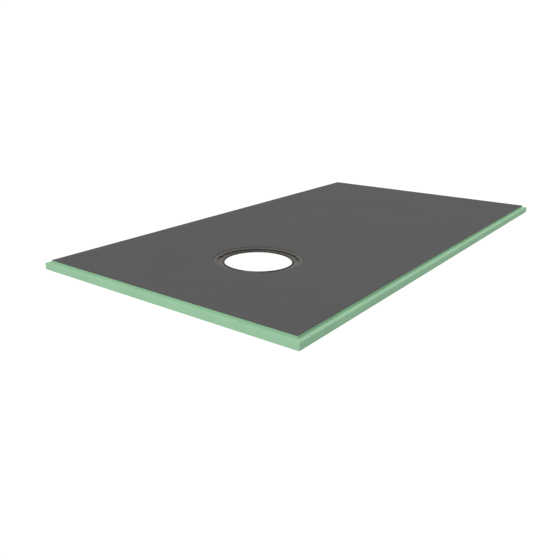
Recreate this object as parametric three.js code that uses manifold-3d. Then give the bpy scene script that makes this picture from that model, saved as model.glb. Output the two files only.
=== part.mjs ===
// Pre-sloped shower pan: a foam board that falls from a level rim to a drain, with a waterproof coat
// over its top and a moulded drain ring. Millimetres, +Z up. The origin is at the centre of the
// underside, and +X runs along the length, away from the drain.

import * as THREE from 'three';
import { ConvexGeometry } from 'three/addons/geometries/ConvexGeometry.js';
import { mergeVertices } from 'three/addons/utils/BufferGeometryUtils.js';
import Module from 'manifold-3d';

// Outer size of the board
const LENGTH = 1524;
const WIDTH = 812.8;
const RIM_HEIGHT = 25.4;

// Rebate around the edge, where the wall board stands
const LEDGE_WIDTH = 12.7;
const LEDGE_HEIGHT = 18;

// Fall of the top to a level landing around the drain
const DRAIN_FROM_END = 406.4;
const LANDING_HEIGHT = 9.6;
const LANDING_MARGIN = 4;

// Waterproof coat, which turns down into the drain's recess
const COAT_THICKNESS = 1.2;
const RECESS_DEPTH = 1.8;

// Drain ring, as widths from its throat outwards and heights above the underside
const THROAT_RADIUS = 93.4;
const THROAT_TAPER = 2.6;
const COLLAR_WIDTH = 1.6;
const COLLAR_SLOPE_WIDTH = 2;
const COLLAR_HEIGHT = 4.4;
const CHANNEL_WIDTH = 13.8;
const CHANNEL_FLOOR_HEIGHT = 1.2;
const CHANNEL_FLOOR_RISE = 0.8;
const WALL_TAPER = 0.8;
const FLANGE_WIDTH = 8.6;
const FLANGE_DROP = 3.4;
const BEDDED_RIM_WIDTH = 12;
const BEDDED_RIM_SEAT = 3.3;

// Ridges down the throat, and lugs on the wall between flange and channel
const RIDGE_COUNT = 3;
const RIDGE_DEPTH = 0.8;
const LUG_COUNT = 5;
const LUG_WIDTH = 7;
const LUG_LENGTH = 5;
const LUG_ANGLE = 33;

// Clearance between neighbouring pieces, and how far a cutting shape reaches past what it cuts
const GAP = 0.3;
const OVERCUT = 2;
const ROUND_SEGMENTS = 72;

const rimLength = LENGTH - 2 * LEDGE_WIDTH;
const rimWidth = WIDTH - 2 * LEDGE_WIDTH;
const drainX = DRAIN_FROM_END - LENGTH / 2;
const collarInner = THROAT_RADIUS + THROAT_TAPER;
const collarOuter = collarInner + COLLAR_WIDTH;
const channelInner = collarOuter + COLLAR_SLOPE_WIDTH;
const channelOuter = channelInner + CHANNEL_WIDTH;
const flangeInner = channelOuter + WALL_TAPER;
const openingRadius = flangeInner + FLANGE_WIDTH;
const neckRadius = openingRadius + COAT_THICKNESS;
const beddedRimRadius = neckRadius + BEDDED_RIM_WIDTH;
const landingHalf = beddedRimRadius + LANDING_MARGIN;
const flangeTop = LANDING_HEIGHT - RECESS_DEPTH;
const wallTop = flangeTop - FLANGE_DROP;

const wasm = await Module();
wasm.setup();

// A closed three.js geometry as a solid that can be joined and cut
function toSolid(geometry) {
  const bare = geometry.clone();
  bare.deleteAttribute('normal');
  bare.deleteAttribute('uv');
  const merged = mergeVertices(bare);
  const count = merged.getAttribute('position').count;
  const triVerts = merged.index ? merged.index.array : Array.from({ length: count }, (_, i) => i);
  return new wasm.Manifold(new wasm.Mesh({
    numProp: 3,
    vertProperties: new Float32Array(merged.getAttribute('position').array),
    triVerts: new Uint32Array(triVerts),
  }));
}

// A solid as a named mesh with its material
function toMesh(solid, name, material) {
  const { vertProperties, triVerts } = solid.getMesh();
  const geometry = new THREE.BufferGeometry();
  geometry.setAttribute('position', new THREE.BufferAttribute(vertProperties, 3));
  geometry.setIndex(new THREE.BufferAttribute(triVerts, 1));
  geometry.computeVertexNormals();
  const mesh = new THREE.Mesh(geometry, material);
  mesh.name = name;
  return mesh;
}

// A box centred on the origin in plan, from one height to another
function slab(length, width, bottom, top) {
  const box = new THREE.BoxGeometry(length, width, top - bottom);
  box.translate(0, 0, (bottom + top) / 2);
  return toSolid(box);
}

// An upright cylinder on the drain's axis
function drainCylinder(radius, bottom, top) {
  const cylinder = new THREE.CylinderGeometry(radius, radius, top - bottom, ROUND_SEGMENTS);
  cylinder.rotateX(Math.PI / 2);
  cylinder.translate(drainX, 0, (bottom + top) / 2);
  return toSolid(cylinder);
}

// The space above the four falls and the landing, lowered by a depth. Its corners run on past the rim.
function spaceAboveFalls(depth) {
  const runOn = 1.5;
  const low = LANDING_HEIGHT - depth;
  const high = RIM_HEIGHT - depth;
  const points = [];
  for (const sideX of [-1, 1]) {
    for (const sideY of [-1, 1]) {
      const landing = new THREE.Vector3(drainX + sideX * landingHalf, sideY * landingHalf, low);
      const rim = new THREE.Vector3(sideX * rimLength / 2, sideY * rimWidth / 2, high);
      points.push(landing, landing.clone().lerp(rim, runOn));
    }
  }
  return toSolid(new ConvexGeometry(points));
}

// Foam board: ledge all round, raised field, falls, and the seat for the drain ring
function foamSolid() {
  const ledge = slab(LENGTH, WIDTH, 0, LEDGE_HEIGHT);
  const field = slab(rimLength, rimWidth, 0, RIM_HEIGHT + OVERCUT);
  return ledge.add(field)
    .subtract(spaceAboveFalls(COAT_THICKNESS + GAP))
    .subtract(drainCylinder(beddedRimRadius + GAP, BEDDED_RIM_SEAT, RIM_HEIGHT))
    .subtract(drainCylinder(neckRadius + GAP, -OVERCUT, RIM_HEIGHT));
}

// Coat: an even skin over the field, turned down around the drain's recess
function coatSolid() {
  const skin = slab(rimLength, rimWidth, 0, RIM_HEIGHT + OVERCUT)
    .intersect(spaceAboveFalls(COAT_THICKNESS))
    .subtract(spaceAboveFalls(0));
  const turnDown = drainCylinder(neckRadius, flangeTop + GAP, LANDING_HEIGHT);
  const opening = drainCylinder(openingRadius, 0, RIM_HEIGHT);
  return skin.add(turnDown).subtract(opening);
}

// Wall of the throat, from the collar's top down to the underside, with shallow ridges around it
function throatOutline() {
  const outline = [new THREE.Vector2(collarInner, COLLAR_HEIGHT)];
  const pitch = COLLAR_HEIGHT / (RIDGE_COUNT + 1);
  for (let ridge = 1; ridge <= RIDGE_COUNT; ridge += 1) {
    const height = COLLAR_HEIGHT - ridge * pitch;
    const radius = THREE.MathUtils.lerp(collarInner, THROAT_RADIUS, ridge / (RIDGE_COUNT + 1));
    outline.push(new THREE.Vector2(radius + RIDGE_DEPTH, height + pitch / 2));
    outline.push(new THREE.Vector2(radius, height));
  }
  outline.push(new THREE.Vector2(THROAT_RADIUS, 0));
  return outline;
}

// Drain ring: bedded rim, flange, channel and collar in one turned section, with lugs on the wall
function ringSolid() {
  const rimTop = LANDING_HEIGHT - COAT_THICKNESS - GAP;
  const outline = [
    new THREE.Vector2(neckRadius, 0),
    new THREE.Vector2(neckRadius, BEDDED_RIM_SEAT + GAP),
    new THREE.Vector2(beddedRimRadius, BEDDED_RIM_SEAT + GAP),
    new THREE.Vector2(beddedRimRadius, rimTop),
    new THREE.Vector2(neckRadius + GAP, rimTop),
    new THREE.Vector2(neckRadius + GAP, flangeTop),
    new THREE.Vector2(openingRadius, flangeTop),
    new THREE.Vector2(flangeInner, wallTop),
    new THREE.Vector2(channelOuter, CHANNEL_FLOOR_HEIGHT),
    new THREE.Vector2(channelInner, CHANNEL_FLOOR_HEIGHT + CHANNEL_FLOOR_RISE),
    new THREE.Vector2(collarOuter, COLLAR_HEIGHT),
    ...throatOutline(),
  ];
  outline.push(outline[0].clone());
  const turned = new THREE.LatheGeometry(outline, ROUND_SEGMENTS);
  turned.rotateX(Math.PI / 2);
  turned.translate(drainX, 0, 0);
  let ring = toSolid(turned);
  for (let lug = 0; lug < LUG_COUNT; lug += 1) {
    const block = new THREE.BoxGeometry(LUG_LENGTH + OVERCUT, LUG_WIDTH, wallTop - GAP);
    block.translate(channelOuter - (LUG_LENGTH - OVERCUT) / 2, 0, (wallTop - GAP) / 2);
    block.rotateZ(THREE.MathUtils.degToRad(LUG_ANGLE + lug * 360 / LUG_COUNT));
    block.translate(drainX, 0, 0);
    ring = ring.add(toSolid(block));
  }
  return ring;
}

const foamMaterial = new THREE.MeshStandardMaterial({ color: 0x9dc4a4, roughness: 0.85, metalness: 0 });
const coatMaterial = new THREE.MeshStandardMaterial({ color: 0x5d5d5d, roughness: 0.75, metalness: 0 });
const ringMaterial = new THREE.MeshStandardMaterial({ color: 0x6a665f, roughness: 0.5, metalness: 0 });

const pan = new THREE.Group();
pan.add(toMesh(foamSolid(), 'foam_core', foamMaterial));
pan.add(toMesh(coatSolid(), 'top_coat', coatMaterial));
pan.add(toMesh(ringSolid(), 'drain_ring', ringMaterial));

export default pan;
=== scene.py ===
"""Looks of a pre-sloped shower pan: foam board, waterproof coat, drain ring, and a plain studio."""

import math

import bmesh
import bpy
from bpy.props import FloatProperty, FloatVectorProperty, IntProperty, PointerProperty
from mathutils import Matrix, Vector


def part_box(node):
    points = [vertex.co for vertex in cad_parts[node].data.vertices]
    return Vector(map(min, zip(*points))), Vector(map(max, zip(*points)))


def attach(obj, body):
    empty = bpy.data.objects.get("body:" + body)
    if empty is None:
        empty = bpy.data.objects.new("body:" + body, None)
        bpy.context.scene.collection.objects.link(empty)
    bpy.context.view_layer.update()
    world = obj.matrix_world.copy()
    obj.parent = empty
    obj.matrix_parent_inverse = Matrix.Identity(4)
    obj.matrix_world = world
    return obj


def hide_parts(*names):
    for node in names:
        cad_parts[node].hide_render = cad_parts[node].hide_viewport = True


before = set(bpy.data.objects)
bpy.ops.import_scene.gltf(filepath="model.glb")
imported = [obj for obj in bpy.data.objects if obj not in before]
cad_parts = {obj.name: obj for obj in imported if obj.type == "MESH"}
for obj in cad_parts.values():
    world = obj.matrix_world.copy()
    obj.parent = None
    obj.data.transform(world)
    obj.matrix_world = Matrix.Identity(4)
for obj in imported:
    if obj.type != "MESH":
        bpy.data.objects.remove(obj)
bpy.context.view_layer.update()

bl_info = {
    "name": "Pre-sloped shower pan",
    "version": (1, 0, 0),
    "blender": (4, 5, 0),
    "location": "View3D > Sidebar > Shower pan",
    "description": "Builds a coated foam shower pan with its drain ring",
    "category": "Add Mesh",
}

# The drawing is in millimetres, and Blender's meshes are in metres
MM = 0.001
FOAM_LOW, FOAM_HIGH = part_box("foam_core")
COAT_LOW, COAT_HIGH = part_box("top_coat")
RING_LOW, RING_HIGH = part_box("drain_ring")
DRAIN = Vector(((RING_LOW.x + RING_HIGH.x) / 2, (RING_LOW.y + RING_HIGH.y) / 2, 0.0))
RIM_HEIGHT = COAT_HIGH.z
RIM_SIZE = Vector((COAT_HIGH.x - COAT_LOW.x, COAT_HIGH.y - COAT_LOW.y))
BOARD_SIZE = Vector((FOAM_HIGH.x - FOAM_LOW.x, FOAM_HIGH.y - FOAM_LOW.y))
CENTRE = Vector((0.0, 0.0))
ROOT = "root"

# Edges along each side of an outline, steps of a full turn, and steps that a lug is wide
SIDE_EDGES = 36
TURN_STEPS = 288
LUG_STEPS = 3

# Points closer than this count as being in the same place
NEAR = 0.01 * MM

# Steps across a small rounding and across the coat's turn-down
ARRIS_STEPS = 2
RECESS_STEPS = 3

# Degrees between faces past which an edge stays crisp, and the most that an upright face may lean
BOARD_CRISP = 35
RING_CRISP = 30
WALL_LEAN = 25

# Share of the coat's thickness that its skin fills, so that it stays clear of what is under it
SKIN_SHARE = 0.9

# Places of the colour sockets on a colour mix, and of the two shaders on a shader mix
COLOUR_A = 6
COLOUR_B = 7
COLOUR_RESULT = 2
FIRST_SHADER = 1
SECOND_SHADER = 2

# Painted shade on the ring's upright walls beside its treads, as a share of the treads' colour that stands
# in for the shade in the ring's grooves, and how far up a face points to be a wall or a tread
WALL_PAINTED_SHADE = 0.12
WALL_SLOPE = 0.72
TREAD_SLOPE = 0.92

# White that the lens sees behind the pan, drop from the pan to the floor, and distance of the key light
PAPER_WHITE = 1.05
FLOOR_GAP = 0.5 * MM
KEY_DISTANCE = 4

# Camera: place in plan in metres, degrees below level, degrees of turn from +Y, lens in mm and shift
CAMERA_X = -1.6658
CAMERA_Y = -0.9885
CAMERA_TILT = 19.02
CAMERA_TURN = 51.49
CAMERA_LENS = 39.86
CAMERA_SHIFT = 0.0645
SENSOR_WIDTH = 36.0
CAMERA_REACH = 200.0


def length_property(name, description, default):
    """A length in metres that a user may change."""
    return FloatProperty(name=name, description=description, default=default, min=0.0,
                         unit="LENGTH", subtype="DISTANCE", precision=5)


def colour_property(name, description, default):
    """A linear colour that a user may change."""
    return FloatVectorProperty(name=name, description=description, default=default, size=3,
                               min=0.0, max=1.0, subtype="COLOR")


class FoamSettings(bpy.types.PropertyGroup):
    """Sizes and colour of the foam board."""

    ledge_height: length_property("Ledge height", "Top of the ledge above the underside", 18 * MM)
    arris: length_property("Arris", "Softening of the cut edges", 0.7 * MM)
    colour: colour_property("Foam colour", "Pale green of the extruded foam", (0.346, 0.580, 0.383))


class CoatSettings(bpy.types.PropertyGroup):
    """Sizes and colour of the waterproof coat."""

    thickness: length_property("Thickness", "Thickness of the coat", 1.2 * MM)
    bedding: length_property("Bedding", "Space between the coat and the foam under it", 0.3 * MM)
    landing_height: length_property("Landing height", "Top of the coat at the drain", 9.6 * MM)
    landing_margin: length_property("Landing margin", "Landing beyond the ring's bedded rim", 4 * MM)
    recess_depth: length_property("Recess depth", "Depth of the drain's recess at the flange", 1.8 * MM)
    recess_round: length_property("Recess rounding", "Rounding where the coat turns down", 0.9 * MM)
    rim_round: length_property("Rim rounding", "Rounding of the coat's outer edge", 0.5 * MM)
    colour: colour_property("Coat colour", "Dark grey of the coat", (0.0955, 0.0955, 0.0955))


class RingSettings(bpy.types.PropertyGroup):
    """Colour and sizes of the drain ring: widths from its throat outwards, heights above the underside."""

    throat_radius: length_property("Throat radius", "Radius of the hole at the underside", 93.4 * MM)
    throat_taper: length_property("Throat taper", "How far the throat widens upwards", 2.6 * MM)
    collar_width: length_property("Collar width", "Level top of the collar", 1.6 * MM)
    collar_slope: length_property("Collar slope", "Width of the collar's outer slope", 2 * MM)
    collar_height: length_property("Collar height", "Top of the collar", 4.4 * MM)
    channel_width: length_property("Channel width", "Width of the channel's floor", 13.8 * MM)
    channel_height: length_property("Channel height", "Floor of the channel at its outer edge", 1.2 * MM)
    channel_rise: length_property("Channel rise", "Rise of the channel's floor towards the collar", 0.8 * MM)
    wall_taper: length_property("Wall taper", "Lean of the wall above the channel", 0.8 * MM)
    flange_width: length_property("Flange width", "Width of the flange inside the recess", 8.6 * MM)
    flange_drop: length_property("Flange drop", "Fall of the flange towards the channel", 3.4 * MM)
    rim_seat: length_property("Bedded rim seat", "Underside of the rim under the coat", 3.6 * MM)
    arris: length_property("Arris", "Rounding of the moulded edges", 0.3 * MM)
    ridge_depth: length_property("Ridge depth", "Depth of the ridges in the throat", 0.8 * MM)
    ridges: IntProperty(name="Ridges", description="Turned ridges down the throat", default=3, min=1)
    lugs: IntProperty(name="Lugs", description="Small lugs on the channel's wall", default=5, min=1)
    lug_length: length_property("Lug length", "How far a lug reaches into the channel", 5 * MM)
    lug_angle: FloatProperty(name="Lug angle", description="Turn of the first lug from +X",
                             default=math.radians(33), subtype="ANGLE", unit="ROTATION")
    colour: colour_property("Ring colour", "Warm grey of the moulded ring", (0.097, 0.088, 0.077))


class StudioSettings(bpy.types.PropertyGroup):
    """Floor, lights and camera."""

    floor_size: length_property("Floor size", "Side of the square floor", 60.0)
    key_strength: FloatProperty(name="Key strength", description="Strength of the key light", default=1.85)
    key_height: FloatProperty(name="Key height", description="Height of the key light over the floor",
                              default=math.radians(58.6), subtype="ANGLE", unit="ROTATION")
    key_softness: FloatProperty(name="Key softness", description="Angle that the key light fills",
                                default=math.radians(40), subtype="ANGLE", unit="ROTATION")
    sky_strength: FloatProperty(name="Sky strength", description="Strength of the even fill", default=0.5)
    camera_height: length_property("Camera height", "Height of the lens above the rim", 490 * MM)


def finished_object(name, bm):
    """A bmesh as a new object at the origin, with its normals pointing out."""
    bmesh.ops.remove_doubles(bm, verts=bm.verts[:], dist=NEAR)
    bmesh.ops.recalc_face_normals(bm, faces=bm.faces[:])
    mesh = bpy.data.meshes.new(name)
    bm.to_mesh(mesh)
    bm.free()
    piece = bpy.data.objects.new(name, mesh)
    bpy.context.scene.collection.objects.link(piece)
    return piece


def shade_by_angle(piece, degrees):
    """Smooth shading that keeps large faces flat and the edges sharper than an angle crisp."""
    piece.data.shade_smooth()
    piece.data.set_sharp_from_angle(angle=math.radians(degrees))
    flat = piece.modifiers.new("flat_faces", "WEIGHTED_NORMAL")
    flat.keep_sharp = True


def dress(piece, node, material):
    """Gives a piece its material, and puts it in the place of its CAD node."""
    piece.data.materials.append(material)
    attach(piece, ROOT)
    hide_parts(node)


def rectangle_loop(bm, size, centre, height):
    """The outline of a rectangle, each side cut into equal edges."""
    half_unit = 0.5
    made = bmesh.ops.create_grid(bm, x_segments=1, y_segments=1, size=half_unit)
    corners = made["verts"]
    bmesh.ops.scale(bm, vec=(size[0], size[1], 1), verts=corners)
    bmesh.ops.translate(bm, vec=(centre[0], centre[1], height), verts=corners)
    faces = list({face for vert in corners for face in vert.link_faces})
    edges = list({edge for vert in corners for edge in vert.link_edges})
    bmesh.ops.delete(bm, geom=faces, context="FACES_ONLY")
    cut = bmesh.ops.subdivide_edges(bm, edges=edges, cuts=SIDE_EDGES - 1)
    new_edges = [item for item in cut["geom"] if isinstance(item, bmesh.types.BMEdge)]
    return list(set(edges) | set(new_edges))


def circle_loop(bm, radius, centre, height):
    """The outline of a circle, with as many edges as a rectangle's outline."""
    made = bmesh.ops.create_circle(bm, cap_ends=False, radius=radius, segments=4 * SIDE_EDGES,
                                   matrix=Matrix.Translation((centre[0], centre[1], height)))
    return list({edge for vert in made["verts"] for edge in vert.link_edges})


def bridge(bm, *loops):
    """Joins each loop to the next with a band of faces."""
    for first, second in zip(loops, loops[1:]):
        bmesh.ops.bridge_loops(bm, edges=first + second)


def drop_loop(bm, edges, drop):
    """Extrudes a loop straight down, and returns the new loop."""
    made = bmesh.ops.extrude_edge_only(bm, edges=edges)["geom"]
    verts = [item for item in made if isinstance(item, bmesh.types.BMVert)]
    bmesh.ops.translate(bm, vec=(0, 0, -drop), verts=verts)
    return [item for item in made if isinstance(item, bmesh.types.BMEdge)]


def draw_in_loop(bm, edges, share):
    """Extrudes a loop around the drain level towards its axis, and returns the new loop."""
    made = bmesh.ops.extrude_edge_only(bm, edges=edges)["geom"]
    verts = [item for item in made if isinstance(item, bmesh.types.BMVert)]
    bmesh.ops.scale(bm, vec=(share, share, 1), space=Matrix.Translation(-DRAIN), verts=verts)
    return [item for item in made if isinstance(item, bmesh.types.BMEdge)]


def soften(bm, edges, width, segments):
    """Rounds a set of edges."""
    bmesh.ops.bevel(bm, geom=edges, offset=width, offset_type="OFFSET", segments=segments,
                    profile=0.5, affect="EDGES", clamp_overlap=True, material=-1)


def edges_where(bm, test):
    """The edges whose two ends both pass a test."""
    return [edge for edge in bm.edges if all(test(vert.co) for vert in edge.verts)]


def landing_size(coat):
    """Sides of the level landing around the drain."""
    side = RING_HIGH.x - RING_LOW.x + 2 * coat.landing_margin
    return (side, side)


class PAN_OT_foam_board(bpy.types.Operator):
    """Builds the foam board with its ledge, riser, falls and the seat for the drain ring"""

    bl_idname = "pan.foam_board"
    bl_label = "Foam board"

    def execute(self, context):
        foam = context.scene.pan_foam
        coat = context.scene.pan_coat
        ring = context.scene.pan_ring
        bm = bmesh.new()
        under_coat = coat.thickness + coat.bedding
        landing_height = coat.landing_height - under_coat
        seat_height = ring.rim_seat - coat.bedding
        neck = opening_radius(ring) + coat.thickness + coat.bedding
        seat_radius = (RING_HIGH.x - RING_LOW.x) / 2 + coat.bedding
        seat_edge = circle_loop(bm, seat_radius, DRAIN, landing_height)
        landing_edge = rectangle_loop(bm, landing_size(coat), DRAIN, landing_height)
        riser_top = rectangle_loop(bm, RIM_SIZE, CENTRE, RIM_HEIGHT - under_coat)
        bridge(bm, seat_edge, landing_edge, riser_top)
        riser_foot = drop_loop(bm, riser_top, RIM_HEIGHT - under_coat - foam.ledge_height)
        ledge_edge = rectangle_loop(bm, BOARD_SIZE, CENTRE, foam.ledge_height)
        bridge(bm, riser_foot, ledge_edge)
        board_foot = drop_loop(bm, ledge_edge, foam.ledge_height)
        seat_foot = drop_loop(bm, seat_edge, landing_height - seat_height)
        neck_top = draw_in_loop(bm, seat_foot, neck / seat_radius)
        neck_foot = drop_loop(bm, neck_top, seat_height)
        bridge(bm, board_foot, neck_foot)
        half = BOARD_SIZE / 2

        def on_end(point):
            return abs(abs(point.x) - half.x) < NEAR

        def on_side(point):
            return abs(abs(point.y) - half.y) < NEAR

        outer = edges_where(bm, lambda point: on_end(point) or on_side(point))
        level = [edge for edge in outer if edge.verts[0].co.z == edge.verts[1].co.z]
        upright = edges_where(bm, lambda point: on_end(point) and on_side(point))
        soften(bm, list(set(level) | set(upright)), foam.arris, ARRIS_STEPS)
        board = finished_object("foam_board", bm)
        shade_by_angle(board, BOARD_CRISP)
        dress(board, "foam_core", foam_material(foam.colour))
        return {"FINISHED"}


class PAN_OT_top_coat(bpy.types.Operator):
    """Builds the waterproof coat over the four falls, turned down at the rim and into the drain's recess"""

    bl_idname = "pan.top_coat"
    bl_label = "Top coat"

    def execute(self, context):
        coat = context.scene.pan_coat
        ring = context.scene.pan_ring
        bm = bmesh.new()
        hole = circle_loop(bm, opening_radius(ring), DRAIN, coat.landing_height)
        landing_edge = rectangle_loop(bm, landing_size(coat), DRAIN, coat.landing_height)
        rim = rectangle_loop(bm, RIM_SIZE, CENTRE, RIM_HEIGHT)
        bridge(bm, hole, landing_edge, rim)
        drop_loop(bm, rim, coat.thickness + coat.bedding)
        drop_loop(bm, hole, coat.recess_depth - coat.bedding)
        soften(bm, hole, coat.recess_round, RECESS_STEPS)
        rim_edges = edges_where(bm, lambda point: abs(point.z - RIM_HEIGHT) < NEAR)
        soften(bm, rim_edges, coat.rim_round, ARRIS_STEPS)
        skin = finished_object("coat_skin", bm)
        thickness = skin.modifiers.new("thickness", "SOLIDIFY")
        thickness.thickness = coat.thickness * SKIN_SHARE
        thickness.offset = -1.0
        thickness.use_even_offset = True
        shade_by_angle(skin, BOARD_CRISP)
        dress(skin, "top_coat", coat_material(coat.colour))
        return {"FINISHED"}


def opening_radius(ring):
    """Radius of the recess in which the ring shows."""
    return (ring.throat_radius + ring.throat_taper + ring.collar_width + ring.collar_slope
            + ring.channel_width + ring.wall_taper + ring.flange_width)


def ring_outline(ring, coat):
    """The ring's section as radius and height, from the neck's foot round to the throat's foot."""
    opening = opening_radius(ring)
    neck = opening + coat.thickness
    rim_radius = (RING_HIGH.x - RING_LOW.x) / 2
    flange_top = coat.landing_height - coat.recess_depth
    flange_inner = opening - ring.flange_width
    channel_outer = flange_inner - ring.wall_taper
    channel_inner = channel_outer - ring.channel_width
    collar_outer = channel_inner - ring.collar_slope
    collar_inner = collar_outer - ring.collar_width
    outline = [
        (neck, 0.0),
        (neck, ring.rim_seat),
        (rim_radius, ring.rim_seat),
        (rim_radius, RING_HIGH.z),
        (neck + coat.bedding, RING_HIGH.z),
        (neck + coat.bedding, flange_top),
        (opening, flange_top),
        (flange_inner, flange_top - ring.flange_drop),
        (channel_outer, ring.channel_height),
        (channel_inner, ring.channel_height + ring.channel_rise),
        (collar_outer, ring.collar_height),
        (collar_inner, ring.collar_height),
    ]
    pitch = ring.collar_height / (ring.ridges + 1)
    for ridge in range(1, ring.ridges + 1):
        radius = collar_inner - ring.throat_taper * ridge / (ring.ridges + 1)
        height = ring.collar_height - ridge * pitch
        outline.append((radius + ring.ridge_depth, height + pitch / 2))
        outline.append((radius, height))
    outline.append((ring.throat_radius, 0.0))
    return outline


def from_axis(point):
    """Distance of a point from the drain's axis."""
    return math.hypot(point.x - DRAIN.x, point.y - DRAIN.y)


def turned_edges(bm):
    """The edges that run around the drain's axis."""
    return [edge for edge in bm.edges
            if abs(edge.verts[0].co.z - edge.verts[1].co.z) < NEAR
            and abs(from_axis(edge.verts[0].co) - from_axis(edge.verts[1].co)) < NEAR]


def toward(face, outward):
    """How nearly a face lies in a direction from the drain's axis, as a cosine."""
    return (face.calc_center_median() - DRAIN).to_2d().normalized().dot(outward.to_2d())


def push_lugs(bm, ring, coat):
    """Pushes short stretches of the channel's wall inwards, as lugs."""
    flange_inner = opening_radius(ring) - ring.flange_width
    wall_top = coat.landing_height - coat.recess_depth - ring.flange_drop
    wall_foot = ring.channel_height
    inner_limit = flange_inner - ring.wall_taper - MM
    within_lug = math.cos(LUG_STEPS / 2 * math.tau / TURN_STEPS)

    def on_wall(face):
        middle = face.calc_center_median()
        upright = abs(face.normal.z) < math.sin(math.radians(WALL_LEAN))
        at_height = wall_foot < middle.z < wall_top
        return upright and at_height and inner_limit < from_axis(middle) < flange_inner

    for lug in range(ring.lugs):
        angle = ring.lug_angle + lug * math.tau / ring.lugs
        outward = Vector((math.cos(angle), math.sin(angle), 0.0))
        faces = [face for face in bm.faces if on_wall(face) and toward(face, outward) > within_lug]
        made = bmesh.ops.extrude_face_region(bm, geom=faces)["geom"]
        moved = [item for item in made if isinstance(item, bmesh.types.BMVert)]
        bmesh.ops.translate(bm, vec=-outward * ring.lug_length, verts=moved)
        bmesh.ops.delete(bm, geom=faces, context="FACES_ONLY")


class PAN_OT_drain_ring(bpy.types.Operator):
    """Builds the moulded drain ring by turning its section about the drain's axis"""

    bl_idname = "pan.drain_ring"
    bl_label = "Drain ring"

    def execute(self, context):
        ring = context.scene.pan_ring
        coat = context.scene.pan_coat
        bm = bmesh.new()
        verts = [bm.verts.new((DRAIN.x + radius, DRAIN.y, height))
                 for radius, height in ring_outline(ring, coat)]
        edges = [bm.edges.new(pair) for pair in zip(verts, verts[1:] + verts[:1])]
        bmesh.ops.spin(bm, geom=verts + edges, cent=DRAIN, axis=(0, 0, 1), angle=math.tau,
                       steps=TURN_STEPS, use_merge=True)
        bmesh.ops.recalc_face_normals(bm, faces=bm.faces[:])
        soften(bm, turned_edges(bm), ring.arris, ARRIS_STEPS)
        bm.normal_update()
        push_lugs(bm, ring, coat)
        piece = finished_object("moulded_ring", bm)
        shade_by_angle(piece, RING_CRISP)
        dress(piece, "drain_ring", ring_material(ring.colour))
        return {"FINISHED"}


class Shader:
    """A material's node tree, with short calls to add and join nodes."""

    def __init__(self, name):
        self.material = bpy.data.materials.new(name)
        self.material.use_nodes = True
        self.nodes = self.material.node_tree.nodes
        self.links = self.material.node_tree.links
        self.surface = self.nodes["Principled BSDF"]
        self.coordinates = self.nodes.new("ShaderNodeTexCoord")

    def node(self, kind, **values):
        """A new node, with its sockets or settings set by name."""
        made = self.nodes.new(kind)
        for name, value in values.items():
            if name in made.inputs:
                made.inputs[name].default_value = value
            else:
                setattr(made, name, value)
        return made

    def join(self, source, output, target, entry):
        """Links an output of one node to an input of another."""
        self.links.new(source.outputs[output], target.inputs[entry])

    def mapped(self, scale):
        """Object coordinates, stretched along each axis."""
        mapping = self.node("ShaderNodeMapping")
        mapping.inputs["Scale"].default_value = scale
        self.join(self.coordinates, "Object", mapping, "Vector")
        return mapping

    def noise(self, scale, detail=2.0, roughness=0.5, stretch=(1, 1, 1)):
        """A noise pattern in object space; its scale is the number of features in a metre."""
        texture = self.node("ShaderNodeTexNoise", Scale=scale, Detail=detail, Roughness=roughness)
        self.join(self.mapped(stretch), "Vector", texture, "Vector")
        return texture

    def cells(self, scale):
        """Small closed cells in object space; its scale is the number of cells in a metre."""
        texture = self.node("ShaderNodeTexVoronoi", Scale=scale)
        self.join(self.coordinates, "Object", texture, "Vector")
        return texture

    def ramp(self, source, output, low, high, stops=(0.3, 0.7)):
        """A colour ramp between two colours."""
        ramp = self.nodes.new("ShaderNodeValToRGB")
        for element, place, colour in zip(ramp.color_ramp.elements, stops, (low, high)):
            element.position = place
            element.color = (*colour, 1.0)
        self.join(source, output, ramp, "Fac")
        return ramp

    def span(self, source, output, low, high):
        """A value moved from 0 to 1 onto a range."""
        span = self.node("ShaderNodeMapRange")
        span.inputs["To Min"].default_value = low
        span.inputs["To Max"].default_value = high
        self.join(source, output, span, "Value")
        return span

    def multiplied(self, first, first_output, second, second_output):
        """The product of two colours."""
        mix = self.node("ShaderNodeMix", data_type="RGBA", blend_type="MULTIPLY")
        mix.inputs["Factor"].default_value = 1.0
        self.links.new(first.outputs[first_output], mix.inputs[COLOUR_A])
        self.links.new(second.outputs[second_output], mix.inputs[COLOUR_B])
        return mix

    def bump(self, source, output, distance, strength=1.0, under=None):
        """Raises the surface by a pattern, over the bump before it."""
        bump = self.node("ShaderNodeBump", Strength=strength, Distance=distance)
        self.join(source, output, bump, "Height")
        if under:
            self.join(under, "Normal", bump, "Normal")
        return bump


def tint(colour, factor):
    """A colour made lighter or darker."""
    return tuple(min(1.0, channel * factor) for channel in colour)


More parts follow.
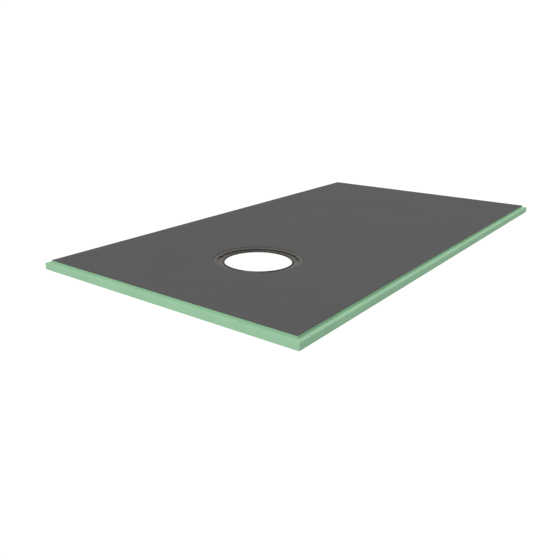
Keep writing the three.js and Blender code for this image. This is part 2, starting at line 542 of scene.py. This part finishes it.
def foam_material(colour):
    """Extruded foam: fine closed cells, faint streaks along the board and a slight unevenness of tone."""
    shader = Shader("extruded_foam")
    clouds = shader.noise(scale=9.0, detail=4.0)
    tone = shader.ramp(clouds, "Fac", tint(colour, 0.965), tint(colour, 1.035))
    speck = shader.noise(scale=900.0, detail=1.0)
    speck_tone = shader.ramp(speck, "Fac", (0.93, 0.93, 0.93), (1.0, 1.0, 1.0), stops=(0.35, 0.55))
    flecked = shader.multiplied(tone, "Color", speck_tone, "Color")
    shader.links.new(flecked.outputs[COLOUR_RESULT], shader.surface.inputs["Base Color"])
    streaks = shader.noise(scale=60.0, detail=3.0, stretch=(0.05, 0.05, 6.0))
    cells = shader.cells(scale=1100.0)
    streak_bump = shader.bump(streaks, "Fac", distance=0.15 * MM, strength=0.3)
    cell_bump = shader.bump(cells, "Distance", distance=0.12 * MM, strength=0.5, under=streak_bump)
    shader.join(cell_bump, "Normal", shader.surface, "Normal")
    shader.surface.inputs["Roughness"].default_value = 0.85
    shader.surface.inputs["Specular IOR Level"].default_value = 0.0
    return shader.material


def coat_material(colour):
    """Rolled-on waterproof coat: a fine pebbled skin with faint clouds in tone and sheen."""
    shader = Shader("waterproof_coat")
    clouds = shader.noise(scale=5.0, detail=5.0)
    tone = shader.ramp(clouds, "Fac", tint(colour, 0.975), tint(colour, 1.025))
    shader.join(tone, "Color", shader.surface, "Base Color")
    sheen = shader.noise(scale=40.0, detail=3.0)
    rough = shader.span(sheen, "Fac", low=0.74, high=0.86)
    shader.join(rough, "Result", shader.surface, "Roughness")
    pebbles = shader.noise(scale=420.0, detail=3.0, roughness=0.6)
    roller = shader.noise(scale=70.0, detail=2.0)
    roller_bump = shader.bump(roller, "Fac", distance=0.2 * MM, strength=0.4)
    pebble_bump = shader.bump(pebbles, "Fac", distance=0.15 * MM, strength=0.5, under=roller_bump)
    shader.join(pebble_bump, "Normal", shader.surface, "Normal")
    shader.surface.inputs["Specular IOR Level"].default_value = 0.2
    return shader.material


def ring_material(colour):
    """Satin moulded plastic with a fine grain, with painted shade that darkens its upright walls against its
    level treads.
    """
    shader = Shader("moulded_plastic")
    clouds = shader.noise(scale=30.0, detail=3.0)
    tone = shader.ramp(clouds, "Fac", tint(colour, 0.94), tint(colour, 1.06))
    # Painted shade: the colour is cut down on faces that point less far up, to a small share on the upright
    # walls, in place of the shade in the ring's grooves
    face = shader.nodes.new("ShaderNodeNewGeometry")
    slope = shader.nodes.new("ShaderNodeSeparateXYZ")
    shader.join(face, "Normal", slope, "Vector")
    level = shader.span(slope, "Z", low=WALL_PAINTED_SHADE, high=1.0)
    level.inputs["From Min"].default_value = WALL_SLOPE
    level.inputs["From Max"].default_value = TREAD_SLOPE
    shaded = shader.multiplied(tone, "Color", level, "Result")
    shader.links.new(shaded.outputs[COLOUR_RESULT], shader.surface.inputs["Base Color"])
    wear = shader.noise(scale=120.0, detail=4.0)
    rough = shader.span(wear, "Fac", low=0.3, high=0.42)
    shader.join(rough, "Result", shader.surface, "Roughness")
    grain = shader.noise(scale=900.0, detail=2.0)
    grain_bump = shader.bump(grain, "Fac", distance=0.03 * MM, strength=0.4)
    shader.join(grain_bump, "Normal", shader.surface, "Normal")
    shader.surface.inputs["Specular IOR Level"].default_value = 0.5
    return shader.material


def floor_material():
    """A pale floor that the lens sees as clean white paper."""
    shader = Shader("pale_floor")
    shader.surface.inputs["Base Color"].default_value = (0.82, 0.82, 0.82, 1.0)
    shader.surface.inputs["Roughness"].default_value = 0.9
    glow = shader.node("ShaderNodeEmission", Strength=PAPER_WHITE)
    path = shader.nodes.new("ShaderNodeLightPath")
    mix = shader.nodes.new("ShaderNodeMixShader")
    shader.links.new(path.outputs["Is Camera Ray"], mix.inputs["Fac"])
    shader.links.new(shader.surface.outputs["BSDF"], mix.inputs[FIRST_SHADER])
    shader.links.new(glow.outputs["Emission"], mix.inputs[SECOND_SHADER])
    shader.links.new(mix.outputs["Shader"], shader.nodes["Material Output"].inputs["Surface"])
    return shader.material


def light_the_sky(strength):
    """An even fill from all round, behind a backdrop that the lens sees as white."""
    world = bpy.data.worlds.new("studio_fill")
    bpy.context.scene.world = world
    world.use_nodes = True
    nodes, links = world.node_tree.nodes, world.node_tree.links
    fill = nodes["Background"]
    fill.inputs["Color"].default_value = (1.0, 1.0, 1.0, 1.0)
    fill.inputs["Strength"].default_value = strength
    backdrop = nodes.new("ShaderNodeBackground")
    backdrop.inputs["Color"].default_value = (1.0, 1.0, 1.0, 1.0)
    backdrop.inputs["Strength"].default_value = PAPER_WHITE
    path = nodes.new("ShaderNodeLightPath")
    mix = nodes.new("ShaderNodeMixShader")
    links.new(path.outputs["Is Camera Ray"], mix.inputs["Fac"])
    links.new(fill.outputs["Background"], mix.inputs[FIRST_SHADER])
    links.new(backdrop.outputs["Background"], mix.inputs[SECOND_SHADER])
    links.new(mix.outputs["Shader"], nodes["World Output"].inputs["Surface"])


class PAN_OT_studio(bpy.types.Operator):
    """Lays the pale floor, sets the soft lights and places the camera"""

    bl_idname = "pan.studio"
    bl_label = "Studio"

    def execute(self, context):
        studio = context.scene.pan_studio
        scene = context.scene
        bm = bmesh.new()
        bmesh.ops.create_grid(bm, x_segments=1, y_segments=1, size=studio.floor_size / 2)
        bmesh.ops.translate(bm, vec=(0, 0, FOAM_LOW.z - FLOOR_GAP), verts=bm.verts[:])
        floor = finished_object("floor", bm)
        floor.data.materials.append(floor_material())

        light_the_sky(studio.sky_strength)
        key_data = bpy.data.lights.new("key", "SUN")
        key_data.energy = studio.key_strength
        key_data.angle = studio.key_softness
        key = bpy.data.objects.new("key", key_data)
        from_direction = Vector((-math.cos(studio.key_height), 0.0, math.sin(studio.key_height)))
        key.rotation_euler = from_direction.to_track_quat("Z", "Y").to_euler()
        key.location = from_direction * KEY_DISTANCE
        scene.collection.objects.link(key)

        lens = bpy.data.cameras.new("camera")
        lens.sensor_width = SENSOR_WIDTH
        lens.lens = CAMERA_LENS
        lens.shift_x = CAMERA_SHIFT
        lens.clip_end = CAMERA_REACH
        camera = bpy.data.objects.new("camera", lens)
        camera.location = (CAMERA_X, CAMERA_Y, RIM_HEIGHT + studio.camera_height)
        camera.rotation_euler = (math.radians(90 - CAMERA_TILT), 0.0, -math.radians(CAMERA_TURN))
        scene.collection.objects.link(camera)
        scene.camera = camera
        scene.view_settings.view_transform = "Standard"
        scene.view_settings.look = "None"
        return {"FINISHED"}


class PAN_PT_sidebar(bpy.types.Panel):
    """Lists the pan's pieces and the studio"""

    bl_idname = "PAN_PT_sidebar"
    bl_label = "Shower pan"
    bl_space_type = "VIEW_3D"
    bl_region_type = "UI"
    bl_category = "Shower pan"

    def draw(self, context):
        for operator in OPERATORS:
            self.layout.operator(operator.bl_idname)


OPERATORS = (PAN_OT_foam_board, PAN_OT_top_coat, PAN_OT_drain_ring, PAN_OT_studio)
SETTINGS = {
    "pan_foam": FoamSettings,
    "pan_coat": CoatSettings,
    "pan_ring": RingSettings,
    "pan_studio": StudioSettings,
}


def register():
    for cls in (*SETTINGS.values(), *OPERATORS, PAN_PT_sidebar):
        bpy.utils.register_class(cls)
    for name, cls in SETTINGS.items():
        setattr(bpy.types.Scene, name, PointerProperty(type=cls))


def unregister():
    for name in SETTINGS:
        delattr(bpy.types.Scene, name)
    for cls in (PAN_PT_sidebar, *reversed(OPERATORS), *reversed(SETTINGS.values())):
        bpy.utils.unregister_class(cls)


def main():
    register()
    bpy.ops.pan.studio()
    bpy.ops.pan.foam_board()
    bpy.ops.pan.top_coat()
    bpy.ops.pan.drain_ring()


if __name__ == "__main__":
    main()
